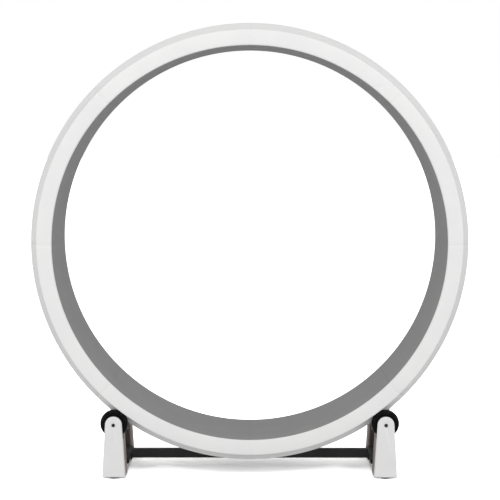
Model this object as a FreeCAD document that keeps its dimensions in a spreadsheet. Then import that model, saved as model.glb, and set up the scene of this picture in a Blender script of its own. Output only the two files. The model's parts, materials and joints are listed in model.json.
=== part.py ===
import FreeCAD, Part
import math
import os
import Sketcher

# Exercise wheel. The wheel turns about Y on four rollers that stand in four pedestals.
# Two guide ribs round the wheel run between the front and the rear rollers and keep it in place.
# Millimetres. X runs left to right, -Y is the front, Z is up. The origin is on the floor, in the middle.

sizes = {
    # Wheel
    "wheel_radius": 610.0,  # at the two guide ribs round the rim
    "wheel_width": 273.0,
    "ground_gap": 46.0,  # between the wheel and the floor
    "track_step": 19.0,  # height of the guide ribs over the two roller tracks
    "track_width": 26.0,
    "guide_width": 22.0,
    "waist_step": 19.0,  # height of the guide ribs over the middle of the rim
    "rim_depth": 43.0,  # from the roller track in to the running surface
    "rim_edge_round": 3.5,
    "lip_width": 5.0,  # rims that hold the mat sideways
    "mat_thickness": 8.0,
    "panel_count": 8,
    "panel_wall": 3.0,
    "panel_end": 24.0,  # solid end block of a panel
    "peg_radius": 6.0,
    "peg_length": 40.0,
    "peg_spread": 70.0,  # pegs stand this far from the middle plane
    # Rollers
    "roller_radius": 39.0,
    "roller_width": 24.0,
    "rolling_gap": 0.3,  # between tyre and track
    "roller_play": 0.2,  # on each side, to the washers
    "tyre_round": 8.0,
    "hub_radius": 24.0,
    "hub_waist": 3.0,  # the hub's side is sunk this far between its rims
    "hub_rim": 3.0,
    "bearing_radius": 11.0,
    "bearing_width": 7.0,
    "hub_shoulder": 1.5,  # step that each bearing seats on
    "spacer_wall": 2.0,
    "axle_radius": 4.0,
    "running_clearance": 0.05,
    "washer_radius": 6.5,
    "washer_thickness": 0.6,
    "bolt_head_radius": 4.8,
    "bolt_head_height": 2.6,
    "bolt_socket": 2.0,  # half across the socket's flats
    "socket_depth": 1.6,
    "nut_half_flats": 6.5,
    "nut_height": 4.0,
    "thread_end": 1.0,  # thread that shows past the nut
    "roller_angle": 37.1,  # from straight below the wheel's middle round to each roller, in degrees
    # Pedestals: a white cover over a dark bracket
    "boss_height": 7.2,  # axle boss inside the cover
    "plate_thickness": 6.5,
    "cover_depth": 12.0,
    "pedestal_depth": 70.0,
    "crown_radius": 23.5,
    "base_half_width": 32.5,
    "shell_wall": 3.0,
    "face_round": 4.0,
    "roller_room": 2.0,  # all round the roller
    "axle_boss_radius": 8.0,
    "hole_clearance": 0.1,
    "screw_boss_radius": 4.5,
    "screw_spread": 16.0,
    "screw_height": 88.0,
    # Roller brackets
    "post_fit": 0.3,  # between the cover's screw posts and the cheek
    "cheek_thickness": 3.0,
    "cheek_edge": 12.0,  # from the axle to the cheek's edge beside the wheel
    "rib_spread": 9.0,
    "rib_thickness": 2.5,
    "rib_back": 4.0,  # ribs end this far short of the bracket's open back
    "screw_radius": 2.0,
    "screw_head_radius": 3.8,
    "screw_head_height": 2.2,
    "screw_length": 16.0,
    # Feet
    "foot_radius": 15.0,
    "foot_height": 4.5,
    "foot_round": 2.0,
    "foot_setback": 19.0,  # from the pedestal's face to the foot's middle
    "foot_recess_radius": 5.0,
    "foot_recess": 2.6,
    "foot_boss_radius": 5.5,
    "foot_boss_height": 14.0,
    "foot_screw_length": 15.0,
    # Side rails and the runners below them
    "rail_half_width": 36.5,
    "rail_height": 14.0,
    "rail_bottom": 27.0,
    "rail_wall": 2.5,
    "rail_round": 3.0,
    "tongue_length": 18.0,
    "tongue_root": 12.0,  # inside the bracket
    "tongue_fit": 0.2,
    "runner_half_width": 31.0,
    "runner_wall": 3.0,
    "rail_screw_setback": 10.0,
    "rail_screw_length": 10.0,
    # Cross bar
    "bar_side": 25.0,
    "bar_wall": 2.0,
    "bar_round": 2.5,
    "bar_plate_length": 66.0,
    "bar_plate_thickness": 4.0,
    "bar_bolt_spread": 24.0,
    "bar_bolt_radius": 2.5,
    "bar_bolt_length": 12.0,
    "bar_bolt_head_radius": 4.2,
    "bar_bolt_head_height": 2.8,
    "bar_nut_half_flats": 4.0,
    "bar_nut_height": 4.0,
}


def taper_angle(half_width, height, crown):
    """Lean of a straight side that runs up from half_width and is tangent to the crown."""
    reach = math.hypot(half_width, height)
    return math.acos(crown / reach) - math.atan2(height, half_width)


def add_outline(name, inset):
    """Sizes of a pedestal-shaped outline that lies inset within the pedestal's own."""
    lean = sizes["side_lean"]
    bottom = sizes["foot_height"] + inset
    crown = sizes["crown_radius"] - inset
    side = inset * math.tan(lean) + inset / math.cos(lean)
    sizes[name + "_bottom"] = bottom
    sizes[name + "_crown"] = crown
    sizes[name + "_base"] = sizes["base_half_width"] - side
    sizes[name + "_side"] = crown * math.cos(lean)
    sizes[name + "_shoulder"] = sizes["axle_height"] + crown * math.sin(lean)


def add_hexagon(name, half_flats):
    corner = half_flats / math.cos(math.radians(30))
    sizes[name + "_flat"] = half_flats
    sizes[name + "_corner"] = corner
    sizes[name + "_half_side"] = corner / 2


def work_out_sizes():
    s = sizes
    # Wheel
    s["wheel_height"] = s["ground_gap"] + s["wheel_radius"]
    s["half_width"] = s["wheel_width"] / 2
    s["track_radius"] = s["wheel_radius"] - s["track_step"]
    s["running_radius"] = s["track_radius"] - s["rim_depth"]
    s["bed_radius"] = s["running_radius"] + s["mat_thickness"]
    s["step_y"] = s["half_width"] - s["track_width"]
    s["guide_y"] = s["step_y"] - s["guide_width"]
    s["waist_radius"] = s["wheel_radius"] - s["waist_step"]
    s["bed_y"] = s["half_width"] - s["lip_width"]
    s["void_y"] = s["half_width"] - s["panel_wall"]
    s["void_step_y"] = s["step_y"] - s["panel_wall"]
    s["void_guide_y"] = s["guide_y"] + s["panel_wall"]
    s["void_waist"] = s["waist_radius"] - s["panel_wall"]
    s["void_inner"] = s["bed_radius"] + s["panel_wall"]
    s["void_outer"] = s["wheel_radius"] - s["panel_wall"]
    s["void_track"] = s["track_radius"] - s["panel_wall"]
    s["panel_angle"] = 360.0 / s["panel_count"]
    s["void_angle"] = s["panel_angle"] - 2 * math.degrees(s["panel_end"] / s["bed_radius"])
    s["peg_circle"] = (s["void_inner"] + s["void_waist"]) / 2
    # Rollers
    s["axle_distance"] = s["track_radius"] + s["rolling_gap"] + s["roller_radius"]
    s["axle_offset"] = s["axle_distance"] * math.sin(math.radians(s["roller_angle"]))
    s["axle_drop"] = s["axle_distance"] * math.cos(math.radians(s["roller_angle"]))
    s["axle_height"] = s["wheel_height"] - s["axle_drop"]
    s["roller_y"] = s["half_width"] - s["track_width"] / 2
    s["roller_half"] = s["roller_width"] / 2
    s["hub_half"] = s["roller_half"] - s["hub_waist"]
    s["hub_rim_inner"] = s["hub_radius"] - s["hub_rim"]
    s["hub_boss"] = s["bearing_radius"] + s["hub_rim"]
    s["bearing_inner_y"] = s["roller_half"] - s["bearing_width"]
    s["hub_step"] = s["bearing_radius"] - s["hub_shoulder"]
    s["bearing_bore"] = s["axle_radius"] + s["running_clearance"]
    s["bearing_half"] = s["bearing_width"] / 2
    s["spacer_radius"] = s["bearing_bore"] + s["spacer_wall"]
    s["axle_hole"] = s["axle_radius"] + s["hole_clearance"]
    s["washer_outer_y"] = s["roller_y"] + s["roller_half"] + s["roller_play"] + s["washer_thickness"]
    s["cheek_y"] = s["roller_y"] - s["roller_half"] - s["roller_play"] - s["washer_thickness"]
    s["cheek_back"] = s["cheek_y"] - s["cheek_thickness"]
    s["plate_back"] = s["washer_outer_y"] + s["boss_height"]
    s["plate_face"] = s["plate_back"] + s["plate_thickness"]
    s["nut_back"] = s["cheek_back"] - s["nut_height"]
    s["bolt_end"] = s["nut_back"] - s["thread_end"]
    s["bolt_face"] = s["plate_face"] + s["bolt_head_height"]
    s["bolt_edge"] = s["plate_face"] + s["bolt_head_height"] / 2
    s["bolt_flat_radius"] = s["bolt_head_radius"] - s["bolt_head_height"] / 2
    add_hexagon("socket", s["bolt_socket"])
    add_hexagon("nut", s["nut_half_flats"])
    add_hexagon("bar_nut", s["bar_nut_half_flats"])
    # Pedestals and brackets
    s["cover_back"] = s["plate_face"] - s["cover_depth"]
    s["pedestal_back"] = s["plate_face"] - s["pedestal_depth"]
    s["cover_hollow"] = s["plate_back"] - s["cover_back"]
    height = s["axle_height"] - s["foot_height"]
    s["side_lean"] = taper_angle(s["base_half_width"], height, s["crown_radius"])
    add_outline("shell", 0)
    add_outline("hollow", s["shell_wall"])
    s["roller_floor"] = s["axle_height"] - s["roller_radius"] - s["roller_room"]
    s["crown_top"] = s["axle_height"] + s["crown_radius"] + s["roller_room"]
    s["slot_span"] = 2 * s["base_half_width"] + s["roller_room"]
    s["gable_reach"] = s["base_half_width"] + s["roller_room"]
    lean = s["axle_offset"] / s["axle_drop"]
    s["gable_top"] = s["axle_height"] + s["cheek_edge"] * s["axle_distance"] / s["axle_drop"]
    s["gable_eave"] = s["gable_top"] - s["gable_reach"] * lean
    s["bracket_depth"] = s["cover_back"] - s["pedestal_back"]
    s["front_depth"] = s["cover_back"] - s["cheek_y"]
    s["tray_depth"] = s["cheek_back"] - s["pedestal_back"]
    s["gable_depth"] = s["cheek_y"] - s["pedestal_back"]
    s["rib_depth"] = s["tray_depth"] - s["rib_back"]
    s["rib_inner"] = s["rib_spread"] - s["rib_thickness"] / 2
    s["rib_outer"] = s["rib_spread"] + s["rib_thickness"] / 2
    s["rib_bottom"] = s["hollow_bottom"] - s["shell_wall"] / 2
    s["rib_top"] = s["roller_floor"]
    s["screw_post"] = s["plate_back"] - s["cheek_y"] - s["post_fit"]
    s["screw_hole"] = s["screw_radius"] + s["hole_clearance"]
    s["screw_bore"] = 2 * s["screw_length"]
    s["axle_bore"] = 2 * (s["plate_face"] - s["washer_outer_y"])
    s["cheek_bore"] = 2 * s["cheek_thickness"]
    # Feet
    s["foot_y"] = s["plate_face"] - s["foot_setback"]
    s["foot_screw_end"] = s["foot_recess"] + s["foot_screw_length"]
    s["foot_bore"] = 2 * s["foot_screw_end"] + s["hole_clearance"]
    # Rails, runners and the bar
    s["rail_top"] = s["rail_bottom"] + s["rail_height"]
    s["rail_length"] = 2 * s["pedestal_back"]
    s["rail_inner_half"] = s["rail_half_width"] - s["rail_wall"]
    s["rail_floor"] = s["rail_bottom"] + s["rail_wall"]
    s["rail_ceiling"] = s["rail_top"] - s["rail_wall"]
    s["tongue_front"] = s["pedestal_back"] + s["tongue_root"]
    s["tongue_bottom"] = s["rail_floor"] + s["tongue_fit"]
    s["tongue_top"] = s["rail_ceiling"] - s["tongue_fit"]
    s["tongue_depth"] = s["tongue_root"] + s["tongue_length"]
    s["rail_screw_y"] = s["pedestal_back"] - s["rail_screw_setback"]
    s["rail_bore"] = 2 * s["rail_screw_length"]
    s["rail_bolt_bore"] = 4 * s["rail_wall"]
    s["runner_inner_half"] = s["runner_half_width"] - s["runner_wall"]
    s["runner_ceiling"] = s["rail_bottom"] - s["runner_wall"]
    s["rail_middle"] = s["rail_bottom"] + s["rail_height"] / 2
    s["bar_reach"] = s["axle_offset"] - s["rail_half_width"]
    s["bar_half"] = s["bar_side"] / 2
    s["bar_inner_half"] = s["bar_half"] - s["bar_wall"]
    s["bar_length"] = 2 * s["bar_reach"]
    s["bar_top"] = s["rail_bottom"] + s["bar_side"]
    s["bar_inner_bottom"] = s["rail_bottom"] + s["bar_wall"]
    s["bar_inner_top"] = s["bar_top"] - s["bar_wall"]
    s["bar_plate_half"] = s["bar_plate_length"] / 2
    s["bar_bolt_hole"] = s["bar_bolt_radius"] + s["hole_clearance"]
    s["bar_bolt_face"] = s["bar_reach"] - s["bar_plate_thickness"]


def fill_sheet(doc):
    sheet = doc.addObject("Spreadsheet::Sheet", "sizes")
    for row, (alias, value) in enumerate(sizes.items(), start=1):
        sheet.set("A%d" % row, alias)
        sheet.set("B%d" % row, repr(value))
        sheet.setAlias("B%d" % row, alias)
    doc.recompute()


# A coordinate is written as the name of a size, with a minus sign where it is negative, or as "0".


def number(coordinate):
    if coordinate == "0":
        return 0.0
    if coordinate.startswith("-"):
        return -sizes[coordinate[1:]]
    return sizes[coordinate]


def formula(coordinate):
    if coordinate == "0":
        return "0"
    if coordinate.startswith("-"):
        return "-sizes." + coordinate[1:]
    return "sizes." + coordinate


def bind(target, path, coordinate):
    target.setExpression(path, formula(coordinate))


def add_body(doc, label):
    body = doc.addObject("PartDesign::Body", label)
    body.Label = label
    return body


def add_sketch(body, plane, name, start="0"):
    """Sketch on one of the body's planes, moved along that plane's normal by start."""
    sketch = body.newObject("Sketcher::SketchObject", name)
    support = [each for each in body.Origin.OriginFeatures if each.Role == plane][0]
    sketch.AttachmentSupport = [(support, "")]
    sketch.MapMode = "FlatFace"
    if start != "0":
        bind(sketch, "AttachmentOffset.Base.z", start)
    return sketch


def fix_point(sketch, item, point, corner):
    for axis, coordinate in zip(("DistanceX", "DistanceY"), corner):
        value = number(coordinate)
        index = sketch.addConstraint(Sketcher.Constraint(axis, item, point, value))
        bind(sketch, "Constraints[%d]" % index, coordinate)


def draw_polygon(sketch, corners):
    first = sketch.GeometryCount
    count = len(corners)
    points = [FreeCAD.Vector(number(x), number(y), 0) for x, y in corners]
    for place in range(count):
        sketch.addGeometry(Part.LineSegment(points[place], points[(place + 1) % count]))
    for place in range(count):
        following = first + (place + 1) % count
        sketch.addConstraint(Sketcher.Constraint("Coincident", first + place, 2, following, 1))
    for place, corner in enumerate(corners):
        fix_point(sketch, first + place, 1, corner)


def draw_rectangle(sketch, left, right, bottom, top):
    draw_polygon(sketch, [(left, bottom), (right, bottom), (right, top), (left, top)])


def draw_circle(sketch, centre, radius):
    middle = FreeCAD.Vector(number(centre[0]), number(centre[1]), 0)
    circle = sketch.addGeometry(Part.Circle(middle, FreeCAD.Vector(0, 0, 1), number(radius)))
    fix_point(sketch, circle, 3, centre)
    index = sketch.addConstraint(Sketcher.Constraint("Radius", circle, number(radius)))
    bind(sketch, "Constraints[%d]" % index, radius)


def draw_pedestal_outline(sketch, name):
    """Straight leaning sides that run into a round crown about the axle."""
    bottom, base = name + "_bottom", name + "_base"
    side, shoulder, crown = name + "_side", name + "_shoulder", name + "_crown"
    corners = [(side, shoulder), ("-" + side, shoulder), ("-" + base, bottom), (base, bottom)]
    right, left, low_left, low_right = [FreeCAD.Vector(number(x), number(y), 0) for x, y in corners]
    top = FreeCAD.Vector(0, sizes["axle_height"] + sizes[crown], 0)
    arc = sketch.addGeometry(Part.Arc(right, top, left))
    lines = [(left, low_left), (low_left, low_right), (low_right, right)]
    for start, end in lines:
        sketch.addGeometry(Part.LineSegment(start, end))
    for item in range(arc, arc + 3):
        sketch.addConstraint(Sketcher.Constraint("Coincident", item, 2, item + 1, 1))
    sketch.addConstraint(Sketcher.Constraint("Coincident", arc + 3, 2, arc, 1))
    for item, corner in zip(range(arc, arc + 4), corners):
        fix_point(sketch, item, 1, corner)
    index = sketch.addConstraint(Sketcher.Constraint("Radius", arc, number(crown)))
    bind(sketch, "Constraints[%d]" % index, crown)


def extrude(body, kind, sketch, depth, both_ways=False, upward=False):
    """Pad or Pocket, towards +Y from a sketch on the XZ plane. A pad may run up the normal instead."""
    feature = body.newObject("PartDesign::" + kind, sketch.Name + "_" + kind.lower())
    feature.Profile = sketch
    bind(feature, "Length", depth)
    feature.Midplane = both_ways
    feature.Reversed = kind == "Pad" and not both_ways and not upward
    body.Document.recompute()


def revolve(body, kind, sketch, angle=None):
    """Turn a sketch on the YZ plane about Y: a full turn, or an angle that is halved by the sketch."""
    feature = body.newObject("PartDesign::" + kind, sketch.Name + "_" + kind.lower())
    feature.Profile = sketch
    feature.ReferenceAxis = (sketch, ["H_Axis"])
    if angle is None:
        feature.Angle = 360
    else:
        bind(feature, "Angle", angle)
        feature.Midplane = True
    body.Document.recompute()


def round_edges(body, radius, wanted):
    """Fillet the edges of the body for which wanted(edge) is true."""
    base = body.Tip
    edges = enumerate(base.Shape.Edges, start=1)
    names = ["Edge%d" % place for place, edge in edges if wanted(edge)]
    if not names:
        raise ValueError("no edges to round on " + body.Label)
    fillet = body.newObject("PartDesign::Fillet", body.Label + "_" + radius)
    fillet.Base = (base, names)
    bind(fillet, "Radius", radius)
    body.Document.recompute()


def near(value, target):
    return abs(value - target) < 1e-4


def is_circle(edge, radius):
    return isinstance(edge.Curve, Part.Circle) and near(edge.Curve.Radius, radius)


def place(shape_object, x=0.0, y=0.0, z=0.0, axis=(0, 0, 1), angle=0.0):
    turn = FreeCAD.Rotation(FreeCAD.Vector(*axis), angle)
    shape_object.Placement = FreeCAD.Placement(FreeCAD.Vector(x, y, z), turn)
    return shape_object


def turned(doc, label, corners):
    """Round piece about its own Y axis. Its half section is given as (along, radius) corners."""
    body = add_body(doc, label)
    sketch = add_sketch(body, "YZ_Plane", label + "_section")
    draw_polygon(sketch, corners)
    revolve(body, "Revolution", sketch)
    return body


def ring(doc, label, start, end, inner, outer):
    return turned(doc, label, [(start, inner), (end, inner), (end, outer), (start, outer)])


def group(doc, label, shapes):
    """Identical small pieces in one node, as separate solids."""
    node = doc.addObject("Part::Feature", label)
    node.Label = label
    node.Shape = Part.makeCompound(shapes)
    return node


def moved(shape, x=0.0, y=0.0, z=0.0, axis=(0, 0, 1), angle=0.0):
    copy = shape.copy()
    turn = FreeCAD.Rotation(FreeCAD.Vector(*axis), angle)
    copy.Placement = FreeCAD.Placement(FreeCAD.Vector(x, y, z), turn).multiply(shape.Placement)
    return copy


# Wheel


def rim_section(sketch):
    draw_polygon(
        sketch,
        [
            ("-half_width", "running_radius"),
            ("-bed_y", "running_radius"),
            ("-bed_y", "bed_radius"),
            ("bed_y", "bed_radius"),
            ("bed_y", "running_radius"),
            ("half_width", "running_radius"),
            ("half_width", "track_radius"),
            ("step_y", "track_radius"),
            ("step_y", "wheel_radius"),
            ("guide_y", "wheel_radius"),
            ("guide_y", "waist_radius"),
            ("-guide_y", "waist_radius"),
            ("-guide_y", "wheel_radius"),
            ("-step_y", "wheel_radius"),
            ("-step_y", "track_radius"),
            ("-half_width", "track_radius"),
        ],
    )


def void_section(sketch):
    draw_polygon(
        sketch,
        [
            ("-void_y", "void_inner"),
            ("void_y", "void_inner"),
            ("void_y", "void_track"),
            ("void_step_y", "void_track"),
            ("void_step_y", "void_outer"),
            ("void_guide_y", "void_outer"),
            ("void_guide_y", "void_waist"),
            ("-void_guide_y", "void_waist"),
            ("-void_guide_y", "void_outer"),
            ("-void_step_y", "void_outer"),
            ("-void_step_y", "void_track"),
            ("-void_y", "void_track"),
        ],
    )


def rim_corner(edge):
    """Circular edges at the outside corners of the rim's section."""
    if not isinstance(edge.Curve, Part.Circle):
        return False
    at_face = near(abs(edge.Curve.Center.y), sizes["half_width"])
    on_guide = near(edge.Curve.Radius, sizes["wheel_radius"])
    return at_face or on_guide


def make_panel(doc, number_of_panel):
    """One hollow segment of the rim, with solid ends and two peg holes in each end."""
    label = "wheel_panel_%d" % number_of_panel
    body = add_body(doc, label)
    section = add_sketch(body, "YZ_Plane", label + "_section")
    rim_section(section)
    revolve(body, "Revolution", section, "panel_angle")
    round_edges(body, "rim_edge_round", rim_corner)
    void = add_sketch(body, "YZ_Plane", label + "_void")
    void_section(void)
    revolve(body, "Groove", void, "void_angle")
    for side in (-1, 1):
        end = "near" if side < 0 else "far"
        holes = add_sketch(body, "YZ_Plane", "%s_peg_holes_%s" % (label, end))
        turn = FreeCAD.Rotation(FreeCAD.Vector(1, 0, 0), side * sizes["panel_angle"] / 2)
        holes.AttachmentOffset = FreeCAD.Placement(FreeCAD.Vector(0, 0, 0), turn)
        for along in ("-peg_spread", "peg_spread"):
            draw_circle(holes, (along, "peg_circle"), "peg_radius")
        extrude(body, "Pocket", holes, "peg_length", both_ways=True)
    return body


def make_mat(doc, number_of_mat):
    label = "running_mat_%d" % number_of_mat
    body = add_body(doc, label)
    section = add_sketch(body, "YZ_Plane", label + "_section")
    draw_rectangle(section, "-bed_y", "bed_y", "running_radius", "bed_radius")
    revolve(body, "Revolution", section, "panel_angle")
    return body


def make_wheel(doc):
    nodes = []
    height = sizes["wheel_height"]
    count = int(sizes["panel_count"])
    for turn in range(count):
        angle = (turn + 0.5) * sizes["panel_angle"]
        for maker in (make_panel, make_mat):
            nodes.append(place(maker(doc, turn + 1), z=height, axis=(0, 1, 0), angle=angle))
    pegs = []
    length = sizes["peg_length"]
    for turn in range(count):
        for side in (-1, 1):
            start = FreeCAD.Vector(-length / 2, side * sizes["peg_spread"], sizes["peg_circle"])
            peg = Part.makeCylinder(sizes["peg_radius"], length, start, FreeCAD.Vector(1, 0, 0))
            pegs.append(moved(peg, z=height, axis=(0, 1, 0), angle=turn * sizes["panel_angle"]))
    nodes.append(group(doc, "panel_pegs", pegs))
    return nodes


# Rollers


def make_tyre(doc, label):
    body = ring(doc, label, "-roller_half", "roller_half", "hub_radius", "roller_radius")
    round_edges(body, "tyre_round", lambda edge: is_circle(edge, sizes["roller_radius"]))
    return body


def make_hub(doc, label):
    """Hub with a sunk side, a rim at the tyre and a seat for a bearing at each side."""
    quarter = [
        ("roller_half", "hub_radius"),
        ("roller_half", "hub_rim_inner"),
        ("hub_half", "hub_rim_inner"),
        ("hub_half", "hub_boss"),
        ("roller_half", "hub_boss"),
        ("roller_half", "bearing_radius"),
        ("bearing_inner_y", "bearing_radius"),
        ("bearing_inner_y", "hub_step"),
    ]
    mirrored = [("-" + along, radius) for along, radius in reversed(quarter)]
    return turned(doc, label, quarter + mirrored)


def make_bearings(doc, label, template):
    """A pair of ball bearings, drawn as closed units, at the two sides of the hub."""
    middle = (sizes["roller_half"] + sizes["bearing_inner_y"]) / 2
    return group(doc, label, [moved(template.Shape, y=side * middle) for side in (-1, 1)])


def make_rollers(doc, corners, bearing):
    nodes = []
    for corner, (x, y) in corners.items():
        pieces = [
            make_tyre(doc, "roller_tyre_" + corner),
            make_hub(doc, "roller_hub_" + corner),
            make_bearings(doc, "roller_bearings_" + corner, bearing),
            ring(
                doc,
                "bearing_spacer_" + corner,
                "-bearing_inner_y",
                "bearing_inner_y",
                "bearing_bore",
                "spacer_radius",
            ),
        ]
        for piece in pieces:
            nodes.append(place(piece, x, y * sizes["roller_y"], sizes["axle_height"]))
    return nodes


# Pedestals. Each is drawn at the front, about its own middle plane, and turned round for the rear.
# The white cover is node pedestal_*. The dark bracket behind it carries the axle's inner end.


def cut_roller_slot(body, label, start, end):
    """Take everything away above the roller's underside, from start back to end."""
    slot = add_sketch(body, "YZ_Plane", label + "_roller_slot")
    draw_rectangle(slot, "-" + start, "-" + end, "roller_floor", "crown_top")
    extrude(body, "Pocket", slot, "slot_span", both_ways=True)


def cut_gable(body, label):
    """Trim the top to a gable that stays clear of the wheel's guide ribs on either side."""
    gable = add_sketch(body, "XZ_Plane", label + "_gable", "cheek_y")
    draw_polygon(
        gable,
        [
            ("0", "gable_top"),
            ("gable_reach", "gable_eave"),
            ("gable_reach", "crown_top"),
            ("-gable_reach", "crown_top"),
            ("-gable_reach", "gable_eave"),
        ],
    )
    extrude(body, "Pocket", gable, "gable_depth")


def face_corner(edge):
    """Edges of the pedestal's outer face."""
    box = edge.BoundBox
    return near(box.YMin, -sizes["plate_face"]) and near(box.YMax, -sizes["plate_face"])


def make_cover(doc, label):
    """White cover: a face plate with a low rim, a boss for the axle and two screw posts."""
    body = add_body(doc, label)
    outline = add_sketch(body, "XZ_Plane", label + "_outline", "plate_face")
    draw_pedestal_outline(outline, "shell")
    extrude(body, "Pad", outline, "cover_depth")
    round_edges(body, "face_round", face_corner)
    hollow = add_sketch(body, "XZ_Plane", label + "_hollow", "plate_back")
    draw_pedestal_outline(hollow, "hollow")
    extrude(body, "Pocket", hollow, "cover_hollow")
    cut_roller_slot(body, label, "plate_back", "cover_back")
    boss = add_sketch(body, "XZ_Plane", label + "_axle_boss", "plate_back")
    draw_circle(boss, ("0", "axle_height"), "axle_boss_radius")
    extrude(body, "Pad", boss, "boss_height")
    posts = add_sketch(body, "XZ_Plane", label + "_screw_posts", "plate_back")
    for centre in screw_places():
        draw_circle(posts, centre, "screw_boss_radius")
    extrude(body, "Pad", posts, "screw_post")
    axle = [("0", "axle_height")]
    bore(body, label + "_axle_hole", "XZ_Plane", "plate_back", axle, "axle_hole", "axle_bore")
    bore(body, label + "_screw_holes", "XZ_Plane", "cheek_y", screw_places(), "screw_hole", "screw_bore")
    return body


def bore(body, name, plane, start, centres, radius, depth):
    """Round holes that run both ways from a plane."""
    sketch = add_sketch(body, plane, name, start)
    for centre in centres:
        draw_circle(sketch, centre, radius)
    extrude(body, "Pocket", sketch, depth, both_ways=True)


def screw_places():
    return [("-screw_spread", "screw_height"), ("screw_spread", "screw_height")]


def make_bracket(doc, label):
    """Dark moulding with a roller seat in front of its cheek and a ribbed tray behind it."""
    body = add_body(doc, label)
    outline = add_sketch(body, "XZ_Plane", label + "_outline", "cover_back")
    draw_pedestal_outline(outline, "shell")
    extrude(body, "Pad", outline, "bracket_depth")
    for start, depth in (("cover_back", "front_depth"), ("cheek_back", "tray_depth")):
        hollow = add_sketch(body, "XZ_Plane", label + "_hollow_at_" + start, start)
        draw_pedestal_outline(hollow, "hollow")
        extrude(body, "Pocket", hollow, depth)
    cut_roller_slot(body, label, "cover_back", "cheek_y")
    ribs = add_sketch(body, "XZ_Plane", label + "_ribs", "cheek_back")
    draw_rectangle(ribs, "-rib_outer", "-rib_inner", "rib_bottom", "rib_top")
    draw_rectangle(ribs, "rib_inner", "rib_outer", "rib_bottom", "rib_top")
    extrude(body, "Pad", ribs, "rib_depth")
    tongue = add_sketch(body, "XZ_Plane", label + "_tongue", "tongue_front")
    draw_rectangle(tongue, "-hollow_base", "hollow_base", "tongue_bottom", "tongue_top")
    extrude(body, "Pad", tongue, "tongue_depth")
    cut_gable(body, label)
    boss = add_sketch(body, "XY_Plane", label + "_foot_boss", "foot_height")
    draw_circle(boss, ("0", "-foot_y"), "foot_boss_radius")
    extrude(body, "Pad", boss, "foot_boss_height", upward=True)
    axle = [("0", "axle_height")]
    bore(body, label + "_axle_hole", "XZ_Plane", "cheek_y", axle, "axle_hole", "cheek_bore")
    bore(body, label + "_screw_holes", "XZ_Plane", "cheek_y", screw_places(), "screw_hole", "cheek_bore")
    rail = [("0", "-rail_screw_y")]
    bore(body, label + "_rail_hole", "XY_Plane", "rail_bottom", rail, "screw_hole", "rail_bore")
    foot = [("0", "-foot_y")]
    bore(body, label + "_foot_hole", "XY_Plane", "0", foot, "screw_hole", "foot_bore")
    return body


def make_foot(doc, label):
    """Rubber puck with a recess for its screw, drawn along Y and stood up."""
    foot = turned(
        doc,
        label,
        [
            ("0", "foot_recess_radius"),
            ("foot_recess", "foot_recess_radius"),
            ("foot_recess", "screw_hole"),
            ("foot_height", "screw_hole"),
            ("foot_height", "foot_radius"),
            ("0", "foot_radius"),
        ],
    )
    radius = sizes["foot_radius"]
    round_edges(foot, "foot_round", lambda edge: is_circle(edge, radius) and near(edge.Curve.Center.y, 0))
    return foot


def make_pedestals(doc, corners):
    nodes = []
    for corner, (x, y) in corners.items():
        angle = 0 if y < 0 else 180
        cover = make_cover(doc, "pedestal_" + corner)
        bracket = make_bracket(doc, "roller_bracket_" + corner)
        foot = make_foot(doc, "rubber_foot_" + corner)
        nodes.append(place(cover, x, angle=angle))
        nodes.append(place(bracket, x, angle=angle))
        nodes.append(place(foot, x, y * sizes["foot_y"], axis=(1, 0, 0), angle=90))
    return nodes


# Side rails, runners and the cross bar


def make_rail(doc, label):
    """Black rectangular tube between a front and a rear pedestal, drawn for the left side."""
    body = add_body(doc, label)
    outline = add_sketch(body, "XZ_Plane", label + "_outline")
    draw_rectangle(outline, "-rail_half_width", "rail_half_width", "rail_bottom", "rail_top")
    extrude(body, "Pad", outline, "rail_length", both_ways=True)
    length = sizes["rail_length"]
    round_edges(body, "rail_round", lambda edge: near(edge.BoundBox.YLength, length))
    hollow = add_sketch(body, "XZ_Plane", label + "_hollow")
    draw_rectangle(hollow, "-rail_inner_half", "rail_inner_half", "rail_floor", "rail_ceiling")
    extrude(body, "Pocket", hollow, "rail_length", both_ways=True)
    ends = [("0", "-rail_screw_y"), ("0", "rail_screw_y")]
    bore(body, label + "_screw_holes", "XY_Plane", "rail_bottom", ends, "screw_hole", "rail_bore")
    name = label + "_bolt_holes"
    bolts = [("-bar_bolt_spread", "rail_middle"), ("bar_bolt_spread", "rail_middle")]
    bore(body, name, "YZ_Plane", "rail_half_width", bolts, "bar_bolt_hole", "rail_bolt_bore")
    return body


def make_runner(doc, label):
    """White channel below a side rail, open to the floor."""
    body = add_body(doc, label)
    outline = add_sketch(body, "XZ_Plane", label + "_outline")
    draw_rectangle(outline, "-runner_half_width", "runner_half_width", "foot_height", "rail_bottom")
    extrude(body, "Pad", outline, "rail_length", both_ways=True)
    hollow = add_sketch(body, "XZ_Plane", label + "_hollow")
    draw_rectangle(hollow, "-runner_inner_half", "runner_inner_half", "foot_height", "runner_ceiling")
    extrude(body, "Pocket", hollow, "rail_length", both_ways=True)
    ends = [("0", "-rail_screw_y"), ("0", "rail_screw_y")]
    bore(body, label + "_screw_holes", "XY_Plane", "rail_bottom", ends, "screw_hole", "rail_bore")
    return body


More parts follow.
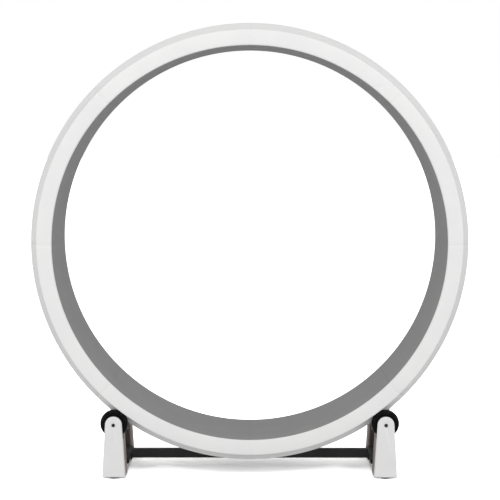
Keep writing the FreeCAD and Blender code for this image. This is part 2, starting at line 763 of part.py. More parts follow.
def make_bar(doc, label):
    """Black square tube with a cap and a bolting plate welded to each end."""
    body = add_body(doc, label)
    outline = add_sketch(body, "YZ_Plane", label + "_outline")
    draw_rectangle(outline, "-bar_half", "bar_half", "rail_bottom", "bar_top")
    extrude(body, "Pad", outline, "bar_length", both_ways=True)
    length = sizes["bar_length"]
    round_edges(body, "bar_round", lambda edge: near(edge.BoundBox.XLength, length))
    hollow = add_sketch(body, "YZ_Plane", label + "_hollow")
    draw_rectangle(hollow, "-bar_inner_half", "bar_inner_half", "bar_inner_bottom", "bar_inner_top")
    extrude(body, "Pocket", hollow, "bar_length", both_ways=True)
    for side, start in (("left", "-bar_reach"), ("right", "bar_bolt_face")):
        plate = add_sketch(body, "YZ_Plane", "%s_plate_%s" % (label, side), start)
        draw_rectangle(plate, "-bar_plate_half", "bar_plate_half", "rail_bottom", "rail_top")
        extrude(body, "Pad", plate, "bar_plate_thickness", upward=True)
        cap = add_sketch(body, "YZ_Plane", "%s_cap_%s" % (label, side), start)
        draw_rectangle(cap, "-bar_half", "bar_half", "rail_bottom", "bar_top")
        extrude(body, "Pad", cap, "bar_plate_thickness", upward=True)
    bolts = [("-bar_bolt_spread", "rail_middle"), ("bar_bolt_spread", "rail_middle")]
    bore(body, label + "_bolt_holes", "YZ_Plane", "0", bolts, "bar_bolt_hole", "bar_length")
    return body


# Fasteners


def make_screw(doc, label, head_radius, head_height, radius, length):
    """Round-headed screw along Y, with the underside of its head at the origin."""
    corners = [("-" + head_height, "0"), ("-" + head_height, head_radius), ("0", head_radius)]
    corners += [("0", radius), (length, radius), (length, "0")]
    return turned(doc, label, corners)


def make_axle_bolt(doc, label):
    """Axle bolt with a low bevelled head and a hexagon socket, drawn at the front."""
    body = turned(
        doc,
        label,
        [
            ("-bolt_face", "0"),
            ("-bolt_face", "bolt_flat_radius"),
            ("-bolt_edge", "bolt_head_radius"),
            ("-plate_face", "bolt_head_radius"),
            ("-plate_face", "axle_radius"),
            ("-bolt_end", "axle_radius"),
            ("-bolt_end", "0"),
        ],
    )
    socket = add_sketch(body, "XZ_Plane", label + "_socket", "bolt_face")
    draw_hexagon(socket, "socket")
    extrude(body, "Pocket", socket, "socket_depth")
    return body


def draw_hexagon(sketch, name):
    corner, half, flat = name + "_corner", name + "_half_side", name + "_flat"
    right = [(corner, "0"), (half, flat)]
    left = [("-" + half, flat), ("-" + corner, "0"), ("-" + half, "-" + flat)]
    draw_polygon(sketch, right + left + [(half, "-" + flat)])


def make_nut(doc, label, name, height, hole):
    """Hexagon nut that runs from its origin towards +Y."""
    body = add_body(doc, label)
    outline = add_sketch(body, "XZ_Plane", label + "_outline")
    draw_hexagon(outline, name)
    draw_circle(outline, ("0", "0"), hole)
    extrude(body, "Pad", outline, height)
    return body


def at_corners(corners, shape, x=0.0, y=0.0, z=0.0):
    """Copies of a shape that is drawn for a front pedestal."""
    copies = []
    for middle, side in corners.values():
        shifted = moved(shape, x, y, z)
        copies.append(moved(shifted, middle, angle=0 if side < 0 else 180))
    return copies


def make_fasteners(doc, corners):
    height = sizes["axle_height"]
    bolt = make_axle_bolt(doc, "axle_bolt_pattern").Shape
    nut = make_nut(doc, "axle_nut_pattern", "nut", "nut_height", "axle_radius").Shape
    washer = ring(doc, "washer_pattern", "0", "washer_thickness", "axle_hole", "washer_radius").Shape
    head = ("screw_head_radius", "screw_head_height", "screw_radius")
    bracket_screw = make_screw(doc, "bracket_screw_pattern", *head, "screw_length").Shape
    foot_screw = make_screw(doc, "foot_screw_pattern", *head, "foot_screw_length").Shape
    rail_screw = make_screw(doc, "rail_screw_pattern", *head, "rail_screw_length").Shape
    washers = at_corners(corners, washer, y=-sizes["washer_outer_y"], z=height)
    inner_washer = -sizes["cheek_y"] - sizes["washer_thickness"]
    washers += at_corners(corners, washer, y=inner_washer, z=height)
    inward = moved(bracket_screw, angle=180)
    bracket_screws = []
    for side in (-1, 1):
        x = side * sizes["screw_spread"]
        bracket_screws += at_corners(corners, inward, x, -sizes["cheek_back"], sizes["screw_height"])
    upright = {"axis": (1, 0, 0), "angle": 90}
    foot = moved(foot_screw, **upright)
    rail = moved(rail_screw, **upright)
    foot_screws = at_corners(corners, foot, y=-sizes["foot_y"], z=sizes["foot_recess"])
    rail_screws = at_corners(corners, rail, y=-sizes["rail_screw_y"], z=sizes["runner_ceiling"])
    return [
        group(doc, "axle_bolts", at_corners(corners, bolt, z=height)),
        group(doc, "axle_nuts", at_corners(corners, nut, y=-sizes["cheek_back"], z=height)),
        group(doc, "axle_washers", washers),
        group(doc, "bracket_screws", bracket_screws),
        group(doc, "foot_screws", foot_screws),
        group(doc, "rail_screws", rail_screws),
    ]


def make_bar_fasteners(doc):
    """Bolts through the bar's end plates into nuts inside the side rails."""
    head = ("bar_bolt_head_radius", "bar_bolt_head_height", "bar_bolt_radius")
    bolt = make_screw(doc, "bar_bolt_pattern", *head, "bar_bolt_length").Shape
    nut = make_nut(doc, "bar_nut_pattern", "bar_nut", "bar_nut_height", "bar_bolt_radius").Shape
    inner_face = sizes["bar_reach"] + sizes["rail_wall"]
    bolts = []
    nuts = []
    for side in (-1, 1):
        for along in (-1, 1):
            spot = {"y": along * sizes["bar_bolt_spread"], "z": sizes["rail_middle"], "angle": -90 * side}
            bolts.append(moved(bolt, x=side * sizes["bar_bolt_face"], **spot))
            nuts.append(moved(nut, x=side * inner_face, **spot))
    return [group(doc, "bar_bolts", bolts), group(doc, "bar_nuts", nuts)]


def make_frame(doc):
    nodes = []
    for side, name in ((-1, "left"), (1, "right")):
        x = side * sizes["axle_offset"]
        angle = 0 if side < 0 else 180
        nodes.append(place(make_rail(doc, "side_rail_" + name), x, angle=angle))
        nodes.append(place(make_runner(doc, "side_runner_" + name), x, angle=angle))
    nodes.append(make_bar(doc, "cross_bar"))
    return nodes


def check_and_export(doc, nodes):
    for each in doc.Objects:
        if "Invalid" in each.State or "Error" in each.State:
            raise RuntimeError("%s failed: %s" % (each.Label, each.State))
    os.makedirs("parts", exist_ok=True)
    for node in nodes:
        shape = node.Shape
        if shape.isNull() or not shape.isValid():
            raise RuntimeError("bad shape: " + node.Label)
        shape.exportStep("parts/%s.step" % node.Label)
        print("%-32s solids %2d  volume %10.1f cm3" % (node.Label, len(shape.Solids), shape.Volume / 1000))


def main():
    work_out_sizes()
    doc = FreeCAD.newDocument("exercise_wheel")
    fill_sheet(doc)
    offset = sizes["axle_offset"]
    corners = {
        "front_left": (-offset, -1),
        "front_right": (offset, -1),
        "rear_left": (-offset, 1),
        "rear_right": (offset, 1),
    }
    bearing_section = ("-bearing_half", "bearing_half", "bearing_bore", "bearing_radius")
    bearing = ring(doc, "bearing_pattern", *bearing_section)
    nodes = make_wheel(doc)
    nodes += make_rollers(doc, corners, bearing)
    nodes += make_pedestals(doc, corners)
    nodes += make_frame(doc)
    nodes += make_fasteners(doc, corners)
    nodes += make_bar_fasteners(doc)
    doc.recompute()
    check_and_export(doc, nodes)


main()
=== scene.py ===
import json
import math
import bmesh
import bpy
from mathutils import Matrix, Vector


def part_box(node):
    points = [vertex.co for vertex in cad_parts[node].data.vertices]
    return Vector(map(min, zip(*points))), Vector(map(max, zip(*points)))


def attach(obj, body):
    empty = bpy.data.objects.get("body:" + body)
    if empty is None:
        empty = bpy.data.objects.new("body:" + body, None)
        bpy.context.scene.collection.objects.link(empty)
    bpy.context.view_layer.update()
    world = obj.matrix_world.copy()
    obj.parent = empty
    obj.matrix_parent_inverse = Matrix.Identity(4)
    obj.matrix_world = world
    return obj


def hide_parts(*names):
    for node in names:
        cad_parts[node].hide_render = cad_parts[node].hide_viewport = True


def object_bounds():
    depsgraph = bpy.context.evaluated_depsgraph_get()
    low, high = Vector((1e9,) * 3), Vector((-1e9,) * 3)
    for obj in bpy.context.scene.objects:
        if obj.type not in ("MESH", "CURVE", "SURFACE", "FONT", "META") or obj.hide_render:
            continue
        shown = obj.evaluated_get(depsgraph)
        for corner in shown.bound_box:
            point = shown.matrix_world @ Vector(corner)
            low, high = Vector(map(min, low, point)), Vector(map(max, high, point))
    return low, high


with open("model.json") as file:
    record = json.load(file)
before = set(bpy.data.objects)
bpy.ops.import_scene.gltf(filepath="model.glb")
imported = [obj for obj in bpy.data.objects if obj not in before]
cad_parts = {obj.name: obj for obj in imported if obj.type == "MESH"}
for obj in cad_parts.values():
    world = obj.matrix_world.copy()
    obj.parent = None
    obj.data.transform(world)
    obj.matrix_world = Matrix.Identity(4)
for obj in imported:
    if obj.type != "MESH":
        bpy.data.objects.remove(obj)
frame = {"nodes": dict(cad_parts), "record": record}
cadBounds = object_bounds()

# Exercise wheel: white moulded rim with a grey foam mat, on four black rollers in white pedestals.
# Metres. X runs left to right, -Y is the front, Z is up. The origin is on the floor, in the middle.

corners = ("front_left", "front_right", "rear_left", "rear_right")
wheelAxis = Vector((0, 1, 0))
upright = Vector((0, 0, 1))
panelCount = 8
panelTurn = math.tau / panelCount
wheelRadius = cadBounds[1][0]
wheelMiddle = Vector((0, 0, cadBounds[1][2] - wheelRadius))


# Colours and nodes


def linearColour(code):  # sRGB hex to the linear values that shaders take
    parts = [int(code[place:place + 2], 16) / 255 for place in (1, 3, 5)]
    return [part / 12.92 if part <= 0.04045 else ((part + 0.055) / 1.055) ** 2.4 for part in parts] + [1.0]


def addNode(tree, kind, inputs=None, **settings):  # a socket among the inputs is linked, a value is set
    node = tree.nodes.new(kind)
    for name, value in settings.items():
        setattr(node, name, value)
    for name, value in (inputs or {}).items():
        if isinstance(value, bpy.types.NodeSocket):
            tree.links.new(value, node.inputs[name])
        else:
            node.inputs[name].default_value = value
    return node


surface = {
    "toneSize": 0.09,  # metres over which colour and gloss drift
    "toneDetail": 4.0,
    "grainDetail": 3.0,
    "bumpStrength": 0.6,
    "driftRange": (0.3, 0.7),  # the part of the noise that the drift uses
}


def newMaterial(name, colours, grain, height, rough, metallic=0.0, specular=0.5):
    # colours: one, or two that drift into each other; rough: lowest and highest roughness
    # grain: size in metres of the moulded or sprayed grain; height: how far it stands up
    material = bpy.data.materials.new(name)
    material.use_nodes = True
    tree = material.node_tree
    shader = tree.nodes["Principled BSDF"]
    shader.inputs["Base Color"].default_value = linearColour(colours[0])
    shader.inputs["Metallic"].default_value = metallic
    shader.inputs["Specular IOR Level"].default_value = specular
    spot = addNode(tree, "ShaderNodeTexCoord").outputs["Object"]
    fine = addNode(tree, "ShaderNodeTexNoise", {
        "Vector": spot, "Scale": 1 / grain, "Detail": surface["grainDetail"],
    })
    bump = addNode(tree, "ShaderNodeBump", {
        "Height": fine.outputs["Fac"], "Distance": height, "Strength": surface["bumpStrength"],
    })
    tree.links.new(bump.outputs["Normal"], shader.inputs["Normal"])
    broad = addNode(tree, "ShaderNodeTexNoise", {
        "Vector": spot, "Scale": 1 / surface["toneSize"], "Detail": surface["toneDetail"],
    })
    low, high = surface["driftRange"]
    drift = addNode(tree, "ShaderNodeMapRange", {
        "Value": broad.outputs["Fac"], "From Min": low, "From Max": high,
    })
    gloss = addNode(tree, "ShaderNodeMapRange", {
        "Value": drift.outputs["Result"], "To Min": rough[0], "To Max": rough[1],
    })
    tree.links.new(gloss.outputs["Result"], shader.inputs["Roughness"])
    if len(colours) == 2:
        tone = addNode(tree, "ShaderNodeMixRGB", {
            "Fac": drift.outputs["Result"],
            "Color1": linearColour(colours[0]), "Color2": linearColour(colours[1]),
        })
        tree.links.new(tone.outputs["Color"], shader.inputs["Base Color"])
    return material


# Materials, named for what the real one is and how it is made

# White, with a soft broad highlight and hardly any grain
panelPvc = newMaterial(
    "moulded PVC white", ("#f0f0f0", "#f4f4f3"), grain=0.0012, height=0.00004, rough=(0.38, 0.46),
)

# The same white plastic, a little duller, coloured light grey as painted shade: the wheel's outer band,
# darkened where the track's corner shades it
paintedShadePvc = newMaterial(
    "moulded PVC white with painted shade grey", ("#dcdcdc", "#e0e0df"), grain=0.0012, height=0.00004, rough=(0.42, 0.5),
)

# A little greyer and glossier than the wheel
shellAbs = newMaterial(
    "moulded ABS white", ("#ebebeb", "#efefee"), grain=0.0009, height=0.00003, rough=(0.30, 0.40),
)

# Closed cells cut open by the splitting knife: matt, no highlight
matFoam = newMaterial(
    "split EVA foam grey", ("#969595", "#9c9b9b"), grain=0.0016, height=0.00025, rough=(0.82, 0.95),
    specular=0.2,
)

# Creamy white with a low shine
pegAcetal = newMaterial("turned acetal", ("#dcdad4",), grain=0.0008, height=0.00002, rough=(0.3, 0.4))

# Deep black with small sharp highlights, from a polished mould
tyrePolyurethane = newMaterial(
    "cast polyurethane black", ("#030303", "#060606"), grain=0.004, height=0.00002, rough=(0.08, 0.15),
    specular=0.08,
)

# Black with a satin skin
hubNylon = newMaterial("moulded nylon black", ("#1b1b1c",), grain=0.0008, height=0.00004, rough=(0.4, 0.5))

# Bright, with a very fine grain
bearingSteel = newMaterial(
    "ground bearing steel", ("#b9bbbd",), grain=0.0006, height=0.00001, rough=(0.16, 0.3), metallic=1.0,
)

# Warm grey and satin, a little rough from its fibres
bracketNylon = newMaterial(
    "moulded glass-filled nylon", ("#978d88", "#a19792"), grain=0.0008, height=0.00005, rough=(0.48, 0.62),
    specular=0.3,
)

# Soft black with a fine orange peel
frameSteel = newMaterial(
    "powder-coated steel black", ("#333333", "#393939"), grain=0.0014, height=0.00006, rough=(0.48, 0.58),
    specular=0.12,
)

# Dark grey with a dull metal shine
boltSteel = newMaterial(
    "black oxide steel", ("#2a2a2c",), grain=0.0005, height=0.00002, rough=(0.3, 0.48), metallic=0.7,
)

# Pale metal shine
zincSteel = newMaterial(
    "zinc-plated steel", ("#c6c8ca",), grain=0.0006, height=0.00002, rough=(0.24, 0.38), metallic=1.0,
)

# Dull black, with the coarse grain of its mould
footRubber = newMaterial(
    "moulded rubber", ("#1c1c1d",), grain=0.0009, height=0.00008, rough=(0.68, 0.82), specular=0.3,
)

finishes = {
    "white_panel": panelPvc,
    "white_shell": shellAbs,
    "grey_foam": matFoam,
    "peg_plastic": pegAcetal,
    "black_tyre": tyrePolyurethane,
    "black_hub": hubNylon,
    "bearing_steel": bearingSteel,
    "dark_bracket": bracketNylon,
    "black_metal": frameSteel,
    "black_bolt": boltSteel,
    "zinc_steel": zincSteel,
    "foot_rubber": footRubber,
}
slotOfNode = {part["node"]: part["material_slot"] for part in frame["record"]["subparts"]}
for name, node in frame["nodes"].items():
    node.data.materials.clear()
    node.data.materials.append(finishes[slotOfNode[name]])
print("materials:", len(finishes), "for", len(slotOfNode), "nodes")


# Mesh tools

modelling = {
    "smoothAngle": 35.0,  # degrees; sharper edges stay sharp to the eye
    "softAngle": 30.0,  # degrees; sharper edges are rounded
    "flatAngle": 0.5,  # degrees; flatter edges are dissolved
    "mergeDistance": 0.000001,
    "edgeSegments": 2,
    "wideCorner": 0.001,  # metres; wider corners of turned rings get wideSegments
    "wideSegments": 5,
}


def makePiece(mesh, name, slotName, body, nodeName):
    bmesh.ops.recalc_face_normals(mesh, faces=mesh.faces)
    data = bpy.data.meshes.new(name)
    mesh.to_mesh(data)
    mesh.free()
    data.materials.append(finishes[slotName])
    piece = bpy.data.objects.new(name, data)
    bpy.context.scene.collection.objects.link(piece)
    data.shade_smooth()
    data.set_sharp_from_angle(angle=math.radians(modelling["smoothAngle"]))
    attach(piece, body)
    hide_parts(nodeName)
    return piece


def roundOff(mesh, parts, radius, segments, affect="EDGES", clamped=True):
    bmesh.ops.bevel(
        mesh, geom=parts, offset=radius, offset_type="OFFSET", affect=affect,
        segments=segments, profile=0.5, material=-1, clamp_overlap=clamped,
    )


def addSection(mesh, points):  # points are (y, radius), above the wheel's middle
    verts = [mesh.verts.new(wheelMiddle + wheelAxis * along + upright * radius) for along, radius in points]
    return mesh.faces.new(verts)


def sweepSection(mesh, number, steps, endBevel):  # from one joint of the wheel to the next
    start = Matrix.Rotation((number - 1) * panelTurn, 3, "Y")
    bmesh.ops.rotate(mesh, cent=wheelMiddle, matrix=start, verts=mesh.verts)
    bmesh.ops.spin(
        mesh, geom=mesh.verts[:] + mesh.edges[:] + mesh.faces[:], cent=wheelMiddle, axis=wheelAxis,
        angle=panelTurn, steps=steps, use_merge=False, use_duplicate=False,
    )
    ends = [face for face in mesh.faces if len(face.verts) > 4]
    rims = list({edge for face in ends for edge in face.edges})
    roundOff(mesh, rims, endBevel, modelling["edgeSegments"])


def turnRing(mesh, points, place, steps, axis=wheelAxis):  # points are (along, radius, corner radius)
    start = upright if axis.z == 0 else Vector((1, 0, 0))
    verts = [mesh.verts.new(place + axis * along + start * radius) for along, radius, corner in points]
    mesh.faces.new(verts)
    for vert, (along, radius, corner) in zip(verts, points):
        if corner:
            segments = modelling["wideSegments" if corner > modelling["wideCorner"] else "edgeSegments"]
            roundOff(mesh, [vert], corner, segments, "VERTICES")
    outline = [edge for edge in mesh.edges if edge.is_boundary]
    caps = [face for face in mesh.faces if len(face.edges) == len(outline)]
    bmesh.ops.delete(mesh, geom=caps, context="FACES_ONLY")
    ring = outline + list({vert for edge in outline for vert in edge.verts})
    bmesh.ops.spin(
        mesh, geom=ring, cent=place, axis=axis,
        angle=math.tau, steps=steps, use_merge=True, use_duplicate=False,
    )


def mergedCopy(nodeName):  # the frame's own shape, its triangles joined
    mesh = bmesh.new()
    mesh.from_mesh(frame["nodes"][nodeName].data)
    bmesh.ops.remove_doubles(mesh, verts=mesh.verts, dist=modelling["mergeDistance"])
    flat = math.radians(modelling["flatAngle"])
    bmesh.ops.dissolve_limit(mesh, angle_limit=flat, verts=mesh.verts, edges=mesh.edges)
    return mesh


def makeSoftened(nodeName, pieceName, slotName, body, radius, clamped=False):
    # the frame's own shape with its sharp edges rounded
    mesh = mergedCopy(nodeName)
    sharp = [edge for edge in mesh.edges if edge.calc_face_angle(0) > math.radians(modelling["softAngle"])]
    roundOff(mesh, sharp, radius, modelling["edgeSegments"], clamped=clamped)
    makePiece(mesh, pieceName, slotName, body, nodeName)


def titleOf(corner):
    return corner.title().replace("_", "")


# Wheel panels

panel = {
    "trackStep": 0.019,  # the roller tracks lie this far under the guide ribs
    "trackWidth": 0.026,
    "guideWidth": 0.022,
    "guideDraft": 0.005,  # the ribs' outer sides lean in by this much
    "waistStep": 0.019,
    "rimDepth": 0.043,  # from the track in to the running surface
    "lipWidth": 0.005,
    "matThickness": 0.008,
    "edgeRound": 0.0035,
    "edgeSteps": 4,
    "innerRound": 0.0012,  # inside corners, as the mould leaves them
    "innerSteps": 2,
    "jointBevel": 0.00015,  # at the panel's two ends
    "steps": 36,
}
wheelLow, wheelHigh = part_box("wheel_panel_1")
halfWidth = (wheelHigh.y - wheelLow.y) / 2
trackRadius = wheelRadius - panel["trackStep"]
runningRadius = trackRadius - panel["rimDepth"]
bedRadius = runningRadius + panel["matThickness"]
stepY = halfWidth - panel["trackWidth"]
guideY = stepY - panel["guideWidth"]
waistRadius = wheelRadius - panel["waistStep"]
bedY = halfWidth - panel["lipWidth"]


# The faces that take the painted shade grey: the guide ribs and the rim between them
def isPaintedShadeBand(face):  # guide ribs, and the rim between them
    middle = face.calc_center_median() - wheelMiddle
    radius = math.hypot(middle.x, middle.z)
    onRib = radius > trackRadius + panel["innerRound"] / 2 and abs(middle.y) < stepY + panel["innerRound"]
    onWaist = radius > waistRadius - panel["edgeRound"] and abs(middle.y) < guideY and len(face.verts) <= 4
    return onRib or onWaist


def makePanel(number):
    inner, edge = panel["innerRound"], panel["edgeRound"]
    half = [
        (bedY, bedRadius, inner),
        (bedY, runningRadius, inner),
        (halfWidth, runningRadius, edge),
        (halfWidth, trackRadius, edge),
        (stepY, trackRadius, inner),
        (stepY - panel["guideDraft"], wheelRadius, edge),
        (guideY, wheelRadius, edge),
        (guideY, waistRadius, inner),
    ]
    points = half + [(-along, radius, corner) for along, radius, corner in reversed(half)]
    mesh = bmesh.new()
    verts = addSection(mesh, [(along, radius) for along, radius, corner in points]).verts[:]
    for corner, segments in ((inner, panel["innerSteps"]), (edge, panel["edgeSteps"])):
        chosen = [vert for vert, point in zip(verts, points) if point[2] == corner]
        roundOff(mesh, chosen, corner, segments, "VERTICES")
    sweepSection(mesh, number, panel["steps"], panel["jointBevel"])
    # The outer band takes the second material, the white plastic with painted shade grey; the rest stays
    # white
    for face in mesh.faces:
        face.material_index = int(isPaintedShadeBand(face))
    piece = makePiece(mesh, "wheelPanel%d" % number, "white_panel", "wheel", "wheel_panel_%d" % number)
    piece.data.materials.append(paintedShadePvc)


for number in range(1, panelCount + 1):
    makePanel(number)
print("wheel panels: made", panelCount)


# Running mats

mat = {
    "fit": 0.0003,  # on each side, to the panel's lips
    "edgeRound": 0.0015,
    "edgeSteps": 3,
    "steps": 36,
}


def makeMat(number):
    side = bedY - mat["fit"]
    points = [(side, bedRadius), (side, runningRadius), (-side, runningRadius), (-side, bedRadius)]
    mesh = bmesh.new()
    verts = addSection(mesh, points).verts[:]
    tops = [vert for vert, point in zip(verts, points) if point[1] == runningRadius]
    roundOff(mesh, tops, mat["edgeRound"], mat["edgeSteps"], "VERTICES")
    sweepSection(mesh, number, mat["steps"], panel["jointBevel"])
    piece = makePiece(mesh, "runningMat%d" % number, "grey_foam", "wheel", "running_mat_%d" % number)


for number in range(1, panelCount + 1):
    makeMat(number)
print("running mats: made", panelCount)


# Rollers: tyre, hub, bearings and the spacer between them

roller = {
    "shoulder": 0.0078,
    "boreEdge": 0.0003,
    "partingWidth": 0.0005,  # the mould's parting line round the tyre
    "partingHeight": 0.00025,
    "hubEdge": 0.0004,
    "shieldDepth": 0.0004,  # bearing shields lie this far inside the rings
    "bearingBore": 0.00405,
    "ringWall": 0.0016,
    "ringRound": 0.0003,
    "steps": 96,
    "bearingSteps": 64,
}


def makeTyre(corner):
    nodeName = "roller_tyre_" + corner
    low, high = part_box(nodeName)
    half, radius = (high.y - low.y) / 2, (high.z - low.z) / 2
    hubLow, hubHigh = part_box("roller_hub_" + corner)
    bore = (hubHigh.z - hubLow.z) / 2
    tread, width = radius - roller["partingHeight"], roller["partingWidth"]
    points = [
        (half, bore, roller["boreEdge"]), (half, tread, roller["shoulder"]),
        (width, tread, 0), (0, radius, 0), (-width, tread, 0),
        (-half, tread, roller["shoulder"]), (-half, bore, roller["boreEdge"]),
    ]
    mesh = bmesh.new()
    turnRing(mesh, points, (low + high) / 2, roller["steps"])
    makePiece(mesh, "tyre" + titleOf(corner), "black_tyre", "roller_" + corner, nodeName)


def makeBearings(corner):  # the shields' sunk faces show between inner and outer ring
    nodeName = "roller_bearings_" + corner
    low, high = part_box(nodeName)
    spacerLow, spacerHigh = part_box("bearing_spacer_" + corner)
    middle, radius = (low + high) / 2, (high.z - low.z) / 2
    inner = spacerHigh.y - middle.y
    half = ((high.y - middle.y) - inner) / 2
    bore, wall, edge = roller["bearingBore"], roller["ringWall"], roller["ringRound"]
    shield = half - roller["shieldDepth"]
    side = [
        (half, radius, edge), (half, radius - wall, 0), (shield, radius - wall, 0),
        (shield, bore + wall, 0), (half, bore + wall, 0), (half, bore, edge),
    ]
    points = side + [(-along, height, rounding) for along, height, rounding in reversed(side)]
    mesh = bmesh.new()
    for facing in (-1, 1):
        turnRing(mesh, points, middle + wheelAxis * facing * (inner + half), roller["bearingSteps"])
    makePiece(mesh, "bearings" + titleOf(corner), "bearing_steel", "roller_" + corner, nodeName)


for corner in corners:
    body, title = "roller_" + corner, titleOf(corner)
    makeTyre(corner)
    makeSoftened("roller_hub_" + corner, "hub" + title, "black_hub", body, roller["hubEdge"])
    makeBearings(corner)
    makeSoftened(
        "bearing_spacer_" + corner, "bearingSpacer" + title, "bearing_steel", body, roller["ringRound"],
    )
print("rollers: made", len(corners))


# Stand, pegs and nuts, with the soft edges of moulded, coated and turned parts

softEdges = {  # node: the piece's name, finish, edge radius in metres
    "pedestal_front_left": ("coverFrontLeft", "white_shell", 0.0006),
    "pedestal_front_right": ("coverFrontRight", "white_shell", 0.0006),
    "pedestal_rear_left": ("coverRearLeft", "white_shell", 0.0006),
    "pedestal_rear_right": ("coverRearRight", "white_shell", 0.0006),
    "roller_bracket_front_left": ("bracketFrontLeft", "dark_bracket", 0.0005),
    "roller_bracket_front_right": ("bracketFrontRight", "dark_bracket", 0.0005),
    "roller_bracket_rear_left": ("bracketRearLeft", "dark_bracket", 0.0005),
    "roller_bracket_rear_right": ("bracketRearRight", "dark_bracket", 0.0005),
    "side_rail_left": ("sideRailLeft", "black_metal", 0.0004),
    "side_rail_right": ("sideRailRight", "black_metal", 0.0004),
    "side_runner_left": ("sideRunnerLeft", "white_shell", 0.0004),
    "side_runner_right": ("sideRunnerRight", "white_shell", 0.0004),
    "cross_bar": ("crossBar", "black_metal", 0.0004),
    "axle_bolts": ("axleBolts", "black_bolt", 0.0002),
    "axle_nuts": ("axleNuts", "zinc_steel", 0.0004),
    "axle_washers": ("axleWashers", "zinc_steel", 0.0001),
    "bar_nuts": ("barNuts", "zinc_steel", 0.0004),
    "panel_pegs": ("panelPegs", "peg_plastic", 0.0008),
}
clampedNodes = ("cross_bar",)  # its welds meet at corners that a free bevel tears
for nodeName, (pieceName, slotName, radius) in softEdges.items():
    body = "wheel" if nodeName == "panel_pegs" else "stand"
    makeSoftened(nodeName, pieceName, slotName, body, radius, nodeName in clampedNodes)
print("stand and pegs: made", len(softEdges))


# Round-headed screws with a six-lobed drive

screws = {  # node: the piece's name, finish, head radius in metres
    "bracket_screws": ("bracketScrews", "zinc_steel", 0.0038),
    "foot_screws": ("footScrews", "zinc_steel", 0.0038),
    "rail_screws": ("railScrews", "zinc_steel", 0.0038),
    "bar_bolts": ("barBolts", "black_bolt", 0.0042),
}
drive = {
    "radius": 0.5,  # of the head's radius
    "lobes": 6,
    "lobe": 0.16,  # how far a lobe stands out, of the drive's radius
    "depth": 0.0012,
    "headShare": 0.98,  # a face this wide, of the head's radius, is the top of a head
    "headSides": 12,  # and has more sides than this
}


def isHeadTop(face, headRadius):
    middle = face.calc_center_median()
    across = max((vert.co - middle).length for vert in face.verts)
    if len(face.verts) <= drive["headSides"] or across <= headRadius * drive["headShare"]:
        return False
    return all(min(len(side.verts) for side in edge.link_faces) <= 4 for edge in face.edges)


def cutDrive(mesh, face, headRadius):
    middle = face.calc_center_median()
    margin = headRadius * (1 - drive["radius"])
    bmesh.ops.inset_individual(mesh, faces=[face], thickness=margin, use_even_offset=True)
    across = (face.verts[0].co - middle).normalized()
    side = face.normal.cross(across).normalized()
    for vert in face.verts:
        spoke = vert.co - middle
        turn = math.atan2(spoke.dot(side), spoke.dot(across))
        vert.co = middle + spoke * (1 + drive["lobe"] * math.cos(drive["lobes"] * turn))
    for sunk in bmesh.ops.extrude_discrete_faces(mesh, faces=[face])["faces"]:
        bmesh.ops.translate(mesh, vec=-sunk.normal * drive["depth"], verts=sunk.verts)


for nodeName, (pieceName, slotName, headRadius) in screws.items():
    mesh = mergedCopy(nodeName)
    for face in [face for face in mesh.faces if isHeadTop(face, headRadius)]:
        cutDrive(mesh, face, headRadius)
    makePiece(mesh, pieceName, slotName, "stand", nodeName)
print("screws: made", len(screws))


# Rubber feet

foot = {
    "edgeRound": 0.002,
    "topRound": 0.0003,
    "grooves": (0.0118, 0.0092, 0.0066),  # radii of the grip grooves under the foot
    "grooveWidth": 0.0009,
    "grooveDepth": 0.0006,
    "recessRadius": 0.005,
    "recessDepth": 0.0026,
    "recessRound": 0.0002,
    "holeRadius": 0.0021,
    "steps": 64,
}


def makeFoot(corner):
    nodeName = "rubber_foot_" + corner
    low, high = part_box(nodeName)
    radius, height = (high.x - low.x) / 2, high.z - low.z
    bottom = Vector(((low.x + high.x) / 2, (low.y + high.y) / 2, low.z))
    hole, recess, depth = foot["holeRadius"], foot["recessRadius"], foot["grooveDepth"]
    points = [(height, hole, 0), (height, radius, foot["topRound"]), (0, radius, foot["edgeRound"])]
    for groove in foot["grooves"]:
        outer, inner = groove + foot["grooveWidth"] / 2, groove - foot["grooveWidth"] / 2
        points += [(0, outer, 0), (depth, outer, 0), (depth, inner, 0), (0, inner, 0)]
    ceiling = foot["recessDepth"]
    points += [(0, recess, foot["recessRound"]), (ceiling, recess, 0), (ceiling, hole, 0)]
    mesh = bmesh.new()
    turnRing(mesh, points, bottom, foot["steps"], upright)
    makePiece(mesh, "foot" + titleOf(corner), "foot_rubber", "stand", nodeName)


for corner in corners:
    makeFoot(corner)
print("feet: made", len(corners))


# Floor, light and camera

studio = {
    "floorSize": 80.0,
    "floorLit": 0.8,  # what the floor gives back to the object
    "floorMirrored": 1.2,  # what shiny surfaces show of it
    "floorSeen": 3.1,  # what the camera sees of it
    "skyLit": 0.53,  # strength of the white surroundings on the object
    "skyMirrored": 1.0,
    "skySeen": 1.0,
    "lamps": {  # place, size across in metres, watts
        "keyLamp": ((0.0, -2.4, 4.3), 3.0, 22.0),
        "fillLampLeft": ((-3.2, -2.4, 0.9), 1.6, 19.0),
        "fillLampRight": ((3.2, -2.4, 0.9), 1.6, 19.0),
        "glintLampLeft": ((-1.4, -2.05, 2.25), 0.4, 8.5),
        "glintLampRight": ((1.4, -2.05, 2.25), 0.4, 8.5),
    },
    "cameraPlace": (0.01018, -3.83549, 0.97986),
    "cameraTilt": 5.2044,  # degrees down
    "cameraTurn": 0.1428,  # degrees to the left
    "lens": 96.788,  # millimetres
    "sensorWidth": 36.0,
}


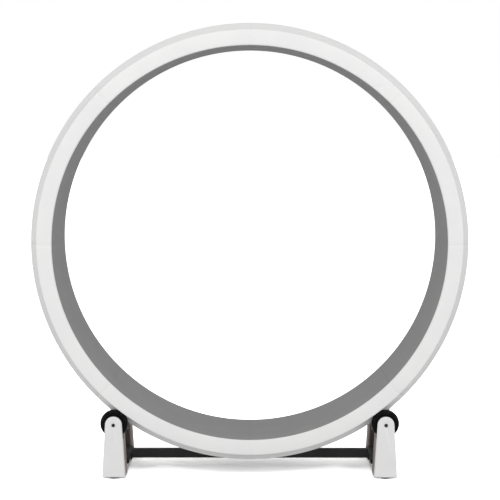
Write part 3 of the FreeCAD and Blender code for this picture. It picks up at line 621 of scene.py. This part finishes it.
def levelByRay(tree, lit, mirrored, seen):  # what the object gets, what its shine shows, what the camera sees
    path = addNode(tree, "ShaderNodeLightPath")
    shine = addNode(tree, "ShaderNodeMath", {
        0: path.outputs["Is Glossy Ray"], 1: path.outputs["Is Transmission Ray"],
    }, operation="MAXIMUM")
    level = addNode(tree, "ShaderNodeMapRange", {
        "Value": shine.outputs[0], "To Min": lit, "To Max": mirrored,
    })
    final = addNode(tree, "ShaderNodeMapRange", {
        "Value": path.outputs["Is Camera Ray"], "To Min": level.outputs["Result"], "To Max": seen,
    })
    return final.outputs["Result"]


def makeSky():
    world = bpy.data.worlds.new("studio")
    world.use_nodes = True
    bpy.context.scene.world = world
    sky = world.node_tree.nodes["Background"]
    sky.inputs["Color"].default_value = (1, 1, 1, 1)
    strength = levelByRay(world.node_tree, studio["skyLit"], studio["skyMirrored"], studio["skySeen"])
    world.node_tree.links.new(strength, sky.inputs["Strength"])


def makeFloor():
    mesh = bmesh.new()
    bmesh.ops.create_grid(mesh, x_segments=1, y_segments=1, size=studio["floorSize"] / 2)
    data = bpy.data.meshes.new("floor")
    mesh.to_mesh(data)
    mesh.free()
    floor = bpy.data.objects.new("floor", data)
    bpy.context.scene.collection.objects.link(floor)
    paint = bpy.data.materials.new("studio floor")
    paint.use_nodes = True
    tree = paint.node_tree
    tree.nodes.remove(tree.nodes["Principled BSDF"])
    matt = addNode(tree, "ShaderNodeBsdfDiffuse", {
        "Color": levelByRay(tree, studio["floorLit"], studio["floorMirrored"], studio["floorSeen"]),
    })
    tree.links.new(matt.outputs["BSDF"], tree.nodes["Material Output"].inputs["Surface"])
    data.materials.append(paint)


def addLamp(name, place, size, power):  # a disk that faces the wheel's middle
    lamp = bpy.data.lights.new(name, "AREA")
    lamp.shape = "DISK"
    lamp.size = size
    lamp.energy = power
    holder = bpy.data.objects.new(name, lamp)
    holder.location = place
    holder.rotation_euler = (wheelMiddle - Vector(place)).to_track_quat("-Z", "Y").to_euler()
    bpy.context.scene.collection.objects.link(holder)


def addCamera():
    camera = bpy.data.cameras.new("camera")
    camera.sensor_width = studio["sensorWidth"]
    camera.lens = studio["lens"]
    holder = bpy.data.objects.new("camera", camera)
    holder.location = studio["cameraPlace"]
    tilt, turn = math.radians(90 - studio["cameraTilt"]), math.radians(studio["cameraTurn"])
    holder.rotation_euler = (tilt, 0, turn)
    bpy.context.scene.collection.objects.link(holder)
    bpy.context.scene.camera = holder


makeSky()
makeFloor()
for name, (place, size, power) in studio["lamps"].items():
    addLamp(name, place, size, power)
addCamera()
bpy.context.scene.view_settings.view_transform = "Standard"
print("studio: ready")
